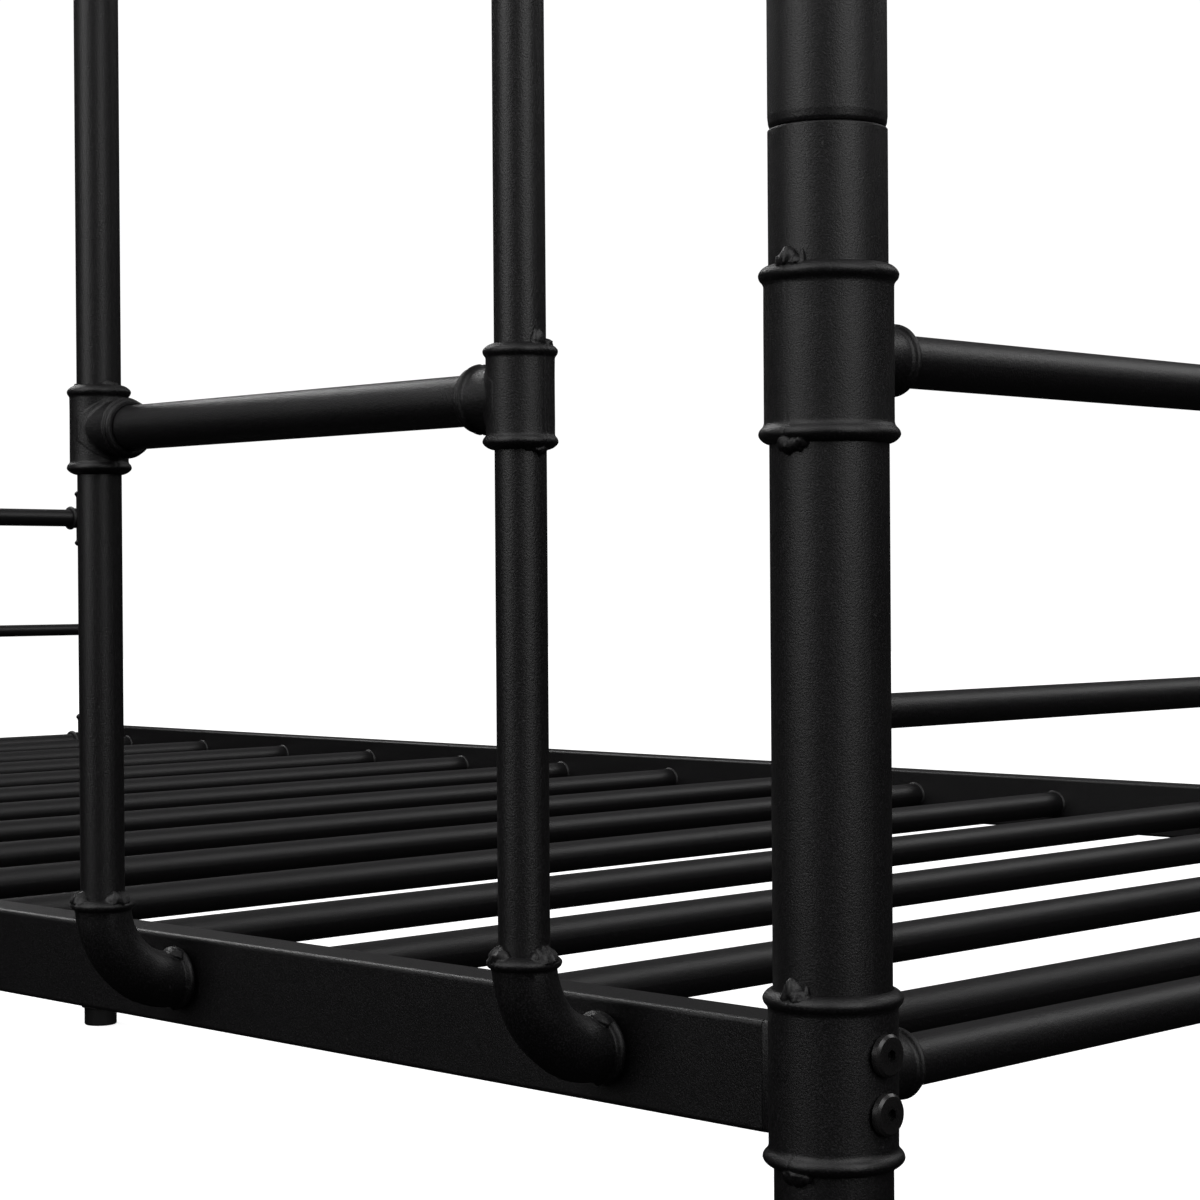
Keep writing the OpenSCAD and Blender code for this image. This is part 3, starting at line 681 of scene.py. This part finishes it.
def corners(height):
    """The four posts at a height: their placing, with +Y towards the middle of the bed, and their sides."""
    for row, sign in (("front", -1), ("back", 1)):
        for side, way in (("left", -1), ("right", 1)):
            line = post_line(row, side)
            yield turned(line.x, line.y, height, 180 if sign > 0 else 0), way, sign


def add_pipe_tee(shell, place, seed):
    """A small tee: the run along Z, the outlet along +Y, tack-welded at the seams."""
    sizes = bpy.context.scene.bed_sizes
    body = pipe_crest - pipe_step
    add_sleeve(shell, place, pipe_half, tube_bore, body, pipe_crest + 0.2 * mm, pipe_rim, 0.35, seed, pipe_sides)
    rims = double_rim(sizes.pipe_outlet, pipe_neck, outlet_crest)
    add_outlet(shell, place, body, pipe_neck, pipe_skirt, tube_bore, rims, sizes.pipe_outlet, seed)
    add_tacks(shell, place, pipe_tacks, tube_radius, pipe_half - pipe_tack_inset, sizes.weld_size * 0.72, seed)


def bend_centre(bend, swing):
    """Where an elbow's centre line is after swinging from its upright leg towards the level one."""
    return Vector((0, bend - bend * math.cos(swing), bend - bend * math.sin(swing)))


def around_bend(centre, outward, radius, angle):
    """A point around an elbow's centre line."""
    return centre + outward * radius * math.sin(angle) + Vector((radius * math.cos(angle), 0, 0))


def add_elbow(shell, place, top, reach, seed):
    """An elbow: a socket rising to top along Z, turning to a rim at reach along +Y, with a parting line."""
    sizes = bpy.context.scene.bed_sizes
    size = sizes.weld_size
    bend = sizes.bend_radius
    body = pipe_crest - elbow_step
    angles = seam_angles(elbow_sides, body, sizes.seam_width)
    rim = rim_profile(0.0, tube_bore, body, pipe_crest + 0.4 * mm, *elbow_rim)
    rim_room = 5.2 * mm
    first = math.asin(max(0.0, (bend - top + rim_room) / bend))
    last = math.pi / 2 - math.asin(max(0.0, (bend - reach + rim_room) / bend))
    steps = 22
    stations = [(r, Vector((0, 0, top + z)), 0.0) for r, z in rim]
    for i in range(steps + 1):
        swing = first + (last - first) * i / steps
        stations.append((body, bend_centre(bend, swing), swing))
    stations += [(r, Vector((0, reach + z, 0)), math.pi / 2) for r, z in reversed(rim)]
    outside = len(stations)
    for i in range(steps + 1):
        swing = math.pi / 2 * (1 - i / steps)
        stations.append((tube_bore, bend_centre(bend, swing), swing))
    rings = []
    for number, (radius, centre, swing) in enumerate(stations):
        outward = Vector((0, math.cos(swing), math.sin(swing)))
        ring = []
        for angle in angles:
            r = radius
            if 0 < number < outside - 1:
                outer = max(0.0, -math.sin(angle))
                standing = sizes.seam_depth * (2.4 * outer - 0.7 * (1 - outer))
                r += standing * seam_cut(angle, body, sizes.seam_width * 0.9)
                r += 1.3 * wander(around_bend(centre, outward, r, angle), 8 * mm, seed)
            ring.append(place @ around_bend(centre, outward, r, angle))
        rings.append(ring)
    shell.loft(rings, True)
    add_tacks(shell, place, elbow_tacks, tube_radius, top - elbow_tack_inset, size, seed)
    along = Matrix.Translation((0, reach - 5.6 * mm, 0))
    lump = place @ along @ lying("Y", 22) @ Matrix.Translation((0, 0, body + 0.3 * mm))
    add_weld(shell, lump, (1.35 * size, 1.0 * size, 0.6 * size), seed + 7)


class BUNK_OT_post_tees(bpy.types.Operator):
    """Make the pressed tees on the posts, at the rails and at the top end tubes"""

    bl_idname = "bunk.post_tees"
    bl_label = "Post Tees"

    def execute(self, context):
        for number, node in enumerate(("lower_rail_tees", "lower_top_tees", "upper_rail_tees", "upper_top_tees")):
            shell = Shell()
            for place, way, sign in corners(middle(node).z):
                guarded = node == "upper_top_tees" and not (way > 0 and sign < 0)
                add_post_tee(shell, place, way * sign if guarded else 0, number * 7 + way + 2 * sign)
            shell.piece(node.replace("tees", "pressed_tees"), coat_finish(), "black_powder_coat", node)
        return {"FINISHED"}


class BUNK_OT_ladder_tees(bpy.types.Operator):
    """Make the small tees where the rungs meet the ladder's uprights"""

    bl_idname = "bunk.ladder_tees"
    bl_label = "Ladder Tees"

    def execute(self, context):
        shell = Shell()
        for rung in (1, 2, 3):
            height = middle(f"ladder_rung_{rung}").z
            for node, turn in (("ladder_left_upright", -90), ("ladder_right_upright", 90)):
                line = middle(node)
                add_pipe_tee(shell, turned(line.x, line.y, height, turn), rung * 5 + turn / 90)
        shell.piece("ladder_pressed_tees", coat_finish(), "black_powder_coat", "ladder_tees")
        return {"FINISHED"}


class BUNK_OT_elbows(bpy.types.Operator):
    """Make the elbows at the ladder's ends and at the end of the front guard rail"""

    bl_idname = "bunk.elbows"
    bl_label = "Elbows"

    def execute(self, context):
        for node, flip in (("ladder_lower_elbows", False), ("ladder_upper_elbows", True)):
            shell = Shell()
            low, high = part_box(node)
            fitting = high.z if flip else low.z
            centre = fitting + (-pipe_crest if flip else pipe_crest)
            rise = (centre - low.z) if flip else (high.z - centre)
            for number, upright in enumerate(("ladder_left_upright", "ladder_right_upright")):
                line = middle(upright)
                place = turned(line.x, line.y, centre, 0, lying("Y", 180) if flip else None)
                add_elbow(shell, place, rise, high.y - ladder_line, number * 3 + 11 * flip)
            shell.piece(node.replace("elbows", "bent_elbows"), coat_finish(), "black_powder_coat", node)
        shell = Shell()
        low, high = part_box("guard_elbow")
        centre = Vector((high.x - pipe_crest, middle("guard_elbow").y, high.z - pipe_crest))
        place = turned(centre.x, centre.y, centre.z, 0, lying("X", 180) @ lying("Z", 90))
        add_elbow(shell, place, centre.z - low.z, centre.x - low.x, 29)
        shell.piece("guard_bent_elbow", coat_finish(), "black_powder_coat", "guard_elbow")
        return {"FINISHED"}


def guard_lines():
    """Where the guard uprights stand: (x, y, whether the upright ends in a tee)."""
    front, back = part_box("guard_front_top_tube"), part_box("guard_back_top_tube")
    left = post_line("front", "left").x
    right = post_line("front", "right").x
    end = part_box("guard_front_uprights")[1].x - tube_radius
    front_y, back_y = (front[0] + front[1]).y / 2, (back[0] + back[1]).y / 2
    for i in (1, 2):
        yield left + i * (end - left) / 3, front_y, True
    yield end, front_y, False
    for i in (1, 2, 3):
        yield left + i * (right - left) / 4, back_y, True


class BUNK_OT_guard_fittings(bpy.types.Operator):
    """Make the guard rails' small tees and the beaded sockets under their uprights"""

    bl_idname = "bunk.guard_fittings"
    bl_label = "Guard Fittings"

    def execute(self, context):
        tees, sockets = Shell(), Shell()
        height = middle("guard_back_top_tube").z
        low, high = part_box("guard_sockets")
        tall = high.z - low.z
        body = tube_radius + 2.3 * mm
        for number, (x, y, teed) in enumerate(guard_lines()):
            if teed:
                tilt = lying("X", -90) @ lying("Y", 90)
                add_pipe_tee(tees, turned(x, y, height, 0, tilt), number + 40)
            rim = rim_profile(tall, tube_bore, body, pipe_crest, *socket_rim)
            section = rim + [(body, tall * 0.2), (body, 0.0), (tube_bore, 0.0), (tube_bore, tall * 0.5)]
            angles = [2 * math.pi * k / socket_sides for k in range(socket_sides)]
            rings = [[Vector((x + radius * math.cos(a), y + radius * math.sin(a), low.z + up)) for a in angles]
                     for radius, up in section]
            sockets.loft(rings, True)
            add_bead(sockets, turned(x, y, low.z), tube_radius, tall, -60 - 35 * number, 40,
                     2.8 * mm, 2.6 * mm, 1 * mm, number + 60)
        tees.piece("guard_pressed_tees", coat_finish(), "black_powder_coat", "guard_tees")
        sockets.piece("guard_rolled_sockets", coat_finish(), "black_powder_coat", "guard_sockets")
        return {"FINISHED"}


class BUNK_OT_rail_ends(bpy.types.Operator):
    """Fill each rail's end up to the round of its tee"""

    bl_idname = "bunk.rail_ends"
    bl_label = "Rail Ends"

    def execute(self, context):
        round_of_tee = sleeve_crest - sleeve_step + 0.3 * mm
        shell = Shell()
        for deck in ("lower", "upper"):
            for row in ("front", "back"):
                low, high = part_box(f"{deck}_{row}_rail")
                half_wide, half_tall = (high - low).y / 2, (high - low).z / 2
                flat = half_wide - rail_round
                line = [(-half_wide, half_tall - rail_round),
                        (-half_wide + 0.3 * rail_round, half_tall - 0.3 * rail_round)]
                line += [(flat * k / 5, half_tall) for k in range(-5, 6)]
                line += [(-y, z) for y, z in reversed(line[:2])]
                line += [(y, -z) for y, z in reversed(line)]
                for side, end in (("left", low.x), ("right", high.x)):
                    post = post_line(row, side)
                    way = 1 if side == "right" else -1
                    face, mouth = [], []
                    for y, z in line:
                        spot = (low + high) / 2 + Vector((0, y, z))
                        face.append(Vector((end, spot.y, spot.z)))
                        hollow = math.sqrt(round_of_tee ** 2 - (spot.y - post.y) ** 2)
                        mouth.append(Vector((post.x - way * hollow, spot.y, spot.z)))
                    shell.loft([face, mouth] if way < 0 else [mouth, face], False)
        shell.piece("rail_end_copes", coat_finish(), "black_powder_coat")
        return {"FINISHED"}


class BUNK_OT_slat_welds(bpy.types.Operator):
    """Lay the weld runs around the ends of the slats"""

    bl_idname = "bunk.slat_welds"
    bl_label = "Slat Welds"

    def execute(self, context):
        leg = context.scene.bed_sizes.fillet_size
        for deck in ("lower", "upper"):
            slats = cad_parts[f"{deck}_slats"].data
            height = middle(f"{deck}_slats").z
            columns = sorted({round(v.co.x, 4) for v in slats.vertices})
            lines = [columns[0]]  # each slat's left side
            for x in columns:
                if x - lines[-1] > 3 * tube_radius:
                    lines.append(x)
            shell = Shell()
            for number, x in enumerate(lines):
                for rail, turn in (("front", 0), ("back", 180)):
                    low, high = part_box(f"{deck}_{rail}_rail")
                    face = high.y if rail == "front" else low.y
                    place = turned(x + tube_radius, face, height, turn)
                    add_fillet_run(shell, place, tube_radius, leg, number * 2 + turn)
            shell.piece(f"{deck}_slat_welds", coat_finish(), "black_powder_coat")
        return {"FINISHED"}


class BUNK_OT_thin_tube_welds(bpy.types.Operator):
    """Lay the weld runs around the ends of the thin end tubes and guard tubes"""

    bl_idname = "bunk.thin_tube_welds"
    bl_label = "Thin Tube Welds"

    def execute(self, context):
        leg = context.scene.bed_sizes.fillet_size * 0.8
        shell = Shell()
        number = 0
        for deck in ("lower", "upper"):
            for place, _, _ in corners(middle(f"{deck}_left_thin_tube").z):
                number += 1
                add_fillet_run(shell, place, thin_radius, leg, number, post_radius)
        height = middle("guard_back_thin_tubes").z
        for row in ("front", "back"):
            lines = [(x, y) for x, y, _ in guard_lines() if (y > 0) == (row == "back")]
            posts = [post_line(row, "left")] + ([post_line(row, "right")] if row == "back" else [])
            stops = [(p.x, p.y, post_radius) for p in posts] + [(x, y, tube_radius) for x, y in lines]
            stops.sort()
            for i, (x, y, radius) in enumerate(stops):
                for turn, wanted in ((90, i > 0), (-90, i < len(stops) - 1)):
                    if wanted:
                        number += 1
                        add_fillet_run(shell, turned(x, y, height, turn), thin_radius, leg, number, radius)
        shell.piece("thin_tube_welds", coat_finish(), "black_powder_coat")
        return {"FINISHED"}


# ---- the frame's own parts ------------------------------------------------------------------

bolted = ("post_bolts", "ladder_bolts", "guard_bolts")
zinced = ("post_joiners", "rail_end_plates", "ladder_inserts", "guard_inserts", "guard_end_inserts")
moulded = ("foot_glides", "post_caps")


def finish_for(node):
    """The finish of one of the frame's own parts."""
    if node in bolted:
        return finish_named("Black Bolt Finish", black_oxide)
    if node in zinced:
        return finish_named("Zinc Plate", zinc_plate)
    if node in moulded:
        return finish_named("Moulded Plastic", moulded_plastic)
    return coat_finish()


class BUNK_OT_frame_finish(bpy.types.Operator):
    """Give every tube, post, rail, bolt, insert and plastic plug its finish"""

    bl_idname = "bunk.frame_finish"
    bl_label = "Frame Finish"

    def execute(self, context):
        for node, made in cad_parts.items():
            finish = finish_for(node)
            if not made.material_slots:
                made.data.materials.append(finish)
            for slot in made.material_slots:
                slot.material = finish
        return {"FINISHED"}


# ---- stage ----------------------------------------------------------------------------------


def softbox(name, aim, azimuth, elevation, distance, size, power):
    """A soft rectangular light that faces aim: degrees, then metres, then watts."""
    lamp = bpy.data.lights.new(name, "AREA")
    lamp.shape = "RECTANGLE"
    lamp.size, lamp.size_y = size
    lamp.energy = power
    box = bpy.data.objects.new(name, lamp)
    turn, lift = math.radians(azimuth), math.radians(elevation)
    way = Vector((math.cos(turn) * math.cos(lift), math.sin(turn) * math.cos(lift), math.sin(lift)))
    box.location = Vector(aim) + way * distance
    box.rotation_euler = (-way).to_track_quat("-Z", "Y").to_euler()
    box.visible_camera = False
    bpy.context.scene.collection.objects.link(box)
    return box


def add_floor():
    """A plain pale floor, wide enough for any view; it glows as painted light, dimmer near the bed and full white
    further out.
    """
    steps = 24
    reach = 14.0
    floor = bpy.data.meshes.new("pale_floor")
    across = steps + 1
    points = [(reach * (2 * i / steps - 1), reach * (2 * k / steps - 1), 0.0)
              for k in range(across) for i in range(across)]
    faces = [(k * across + i, k * across + i + 1, (k + 1) * across + i + 1, (k + 1) * across + i)
             for k in range(steps) for i in range(steps)]
    floor.from_pydata(points, [], faces)
    laid = bpy.data.objects.new("pale_floor", floor)
    bpy.context.scene.collection.objects.link(laid)
    paint = Coating("Pale Floor")
    cloud = paint.grain(paint.place(), scale=3.0, detail=2.0, roughness=0.5)
    tone = paint.blend(cloud, (0.86, 0.86, 0.86), (0.90, 0.90, 0.90))
    # painted light: the floor's glow rises from dim near the bed to full white away from it
    away = paint.wire(paint.node("ShaderNodeVectorMath", {"operation": "LENGTH"}, vector=paint.place()), "Value")
    painted_floor_glow = paint.ramp(away * 0.1, (0.13, 0.0), (0.32, 1.0))
    paint.finish(base_color=tone, roughness=0.8, emission_strength=1.0,
                 emission_color=paint.blend(painted_floor_glow, (0.70, 0.70, 0.70), (1.0, 1.0, 1.0)))
    laid.data.materials.append(paint.material)
    laid.visible_glossy = False
    laid.visible_diffuse = False


def add_backdrop_light():
    """A plain white surround, dim as the bed sees it: darker low down and towards its back left."""
    world = bpy.data.worlds.new("White Surround")
    bpy.context.scene.world = world
    world.use_nodes = True
    tree = world.node_tree
    tree.nodes.clear()
    rays = tree.nodes.new("ShaderNodeLightPath")
    seen = tree.nodes.new("ShaderNodeBackground")
    seen.inputs["Color"].default_value = (1.0, 1.0, 1.0, 1.0)
    seen.inputs["Strength"].default_value = 1.05
    felt = tree.nodes.new("ShaderNodeBackground")
    felt.inputs["Strength"].default_value = 0.42
    way = tree.nodes.new("ShaderNodeTexCoord")
    parts = tree.nodes.new("ShaderNodeSeparateXYZ")
    rise = tree.nodes.new("ShaderNodeValToRGB")
    set_stops(rise, [(height, (level, level * 0.985, level, 1.0))
                     for height, level in ((0.06, 0.03), (0.26, 0.35), (0.60, 1.0))])
    tree.links.new(way.outputs["Generated"], parts.inputs[0])
    tree.links.new(parts.outputs["Z"], rise.inputs[0])
    around = Wire(tree, parts.outputs["Y"]) - Wire(tree, parts.outputs["X"])
    shade = tree.nodes.new("ShaderNodeValToRGB")
    set_stops(shade, [(position, (level, level, level, 1.0)) for position, level in ((0.42, 1.0), (0.72, 0.45))])
    tree.links.new((around * 0.354 + 0.5).socket, shade.inputs[0])
    dimmed = tree.nodes.new("ShaderNodeMix")
    dimmed.data_type = "RGBA"
    dimmed.blend_type = "MULTIPLY"
    dimmed.inputs[0].default_value = 1.0
    tree.links.new(rise.outputs[0], dimmed.inputs[6])
    tree.links.new(shade.outputs[0], dimmed.inputs[7])
    tree.links.new(dimmed.outputs[2], felt.inputs["Color"])
    mix = tree.nodes.new("ShaderNodeMixShader")
    out = tree.nodes.new("ShaderNodeOutputWorld")
    tree.links.new(rays.outputs["Is Camera Ray"], mix.inputs[0])
    tree.links.new(felt.outputs[0], mix.inputs[1])
    tree.links.new(seen.outputs[0], mix.inputs[2])
    tree.links.new(mix.outputs[0], out.inputs["Surface"])


def add_camera():
    """The camera, near the ladder corner and level with the lower bed."""
    lens = bpy.data.cameras.new("Corner Camera")
    lens.sensor_width = 36.0
    lens.lens = 80.14
    lens.clip_end = 60.0
    camera = bpy.data.objects.new("Corner Camera", lens)
    yaw, pitch, roll = 0.7819, -0.0054, -0.0068
    ahead = Vector((-math.sin(yaw) * math.cos(pitch), math.cos(yaw) * math.cos(pitch), math.sin(pitch)))
    right = Vector((math.cos(yaw), math.sin(yaw), 0.0))
    up = right.cross(ahead)
    rolled_right = math.cos(roll) * right + math.sin(roll) * up
    rolled_up = -math.sin(roll) * right + math.cos(roll) * up
    turn = Matrix((rolled_right, rolled_up, -ahead)).transposed().to_4x4()
    camera.matrix_world = Matrix.Translation((1.5672, -1.2112, 0.4925)) @ turn
    bpy.context.scene.collection.objects.link(camera)
    bpy.context.scene.camera = camera


class BUNK_OT_stage(bpy.types.Operator):
    """Set up the pale floor, the soft lights and the camera"""

    bl_idname = "bunk.stage"
    bl_label = "Studio"

    def execute(self, context):
        context.scene.view_settings.view_transform = "Standard"
        add_floor()
        add_backdrop_light()
        aim = post_line("front", "right")
        aim.z = 0.55
        softbox("Front Softbox", aim, -108, 32, 2.6, (1.45, 2.9), 31)
        softbox("Side Softbox", aim, -8, 32, 2.6, (1.45, 2.9), 31)
        softbox("Back Softbox", (0.2, 0.3, 0.6), 58, 36, 3.2, (1.8, 1.2), 13)
        softbox("Far End Softbox", (0.4, -0.3, 0.6), 172, 36, 3.4, (1.5, 1.3), 36)
        softbox("Overhead Softbox", (0.2, 0.0, 0.6), -40, 86, 2.7, (2.6, 2.0), 5)
        add_camera()
        return {"FINISHED"}


# ---- panel and start ------------------------------------------------------------------------


class BUNK_PT_finish(bpy.types.Panel):
    """The bed's sizes, colours and pieces in the sidebar"""

    bl_label = "Bunk Bed"
    bl_idname = "BUNK_PT_finish"
    bl_space_type = "VIEW_3D"
    bl_region_type = "UI"
    bl_category = "Bunk Bed"

    def draw(self, context):
        column = self.layout.column()
        for group in (context.scene.bed_sizes, context.scene.bed_colours):
            for key in group.__annotations__:
                column.prop(group, key)
        for operator in operators:
            column.operator(operator.bl_idname)


operators = (BUNK_OT_stage, BUNK_OT_frame_finish, BUNK_OT_post_tees, BUNK_OT_ladder_tees, BUNK_OT_elbows,
             BUNK_OT_guard_fittings, BUNK_OT_rail_ends, BUNK_OT_slat_welds, BUNK_OT_thin_tube_welds)
classes = (BedSizes, BedColours) + operators + (BUNK_PT_finish,)


def register():
    for entry in classes:
        bpy.utils.register_class(entry)
    bpy.types.Scene.bed_sizes = bpy.props.PointerProperty(type=BedSizes)
    bpy.types.Scene.bed_colours = bpy.props.PointerProperty(type=BedColours)


def unregister():
    del bpy.types.Scene.bed_colours
    del bpy.types.Scene.bed_sizes
    for entry in reversed(classes):
        bpy.utils.unregister_class(entry)


def main():
    register()
    bpy.ops.bunk.stage()
    bpy.ops.bunk.frame_finish()
    bpy.ops.bunk.post_tees()
    bpy.ops.bunk.ladder_tees()
    bpy.ops.bunk.elbows()
    bpy.ops.bunk.guard_fittings()
    bpy.ops.bunk.rail_ends()
    bpy.ops.bunk.slat_welds()
    bpy.ops.bunk.thin_tube_welds()


if __name__ == "__main__":
    main()
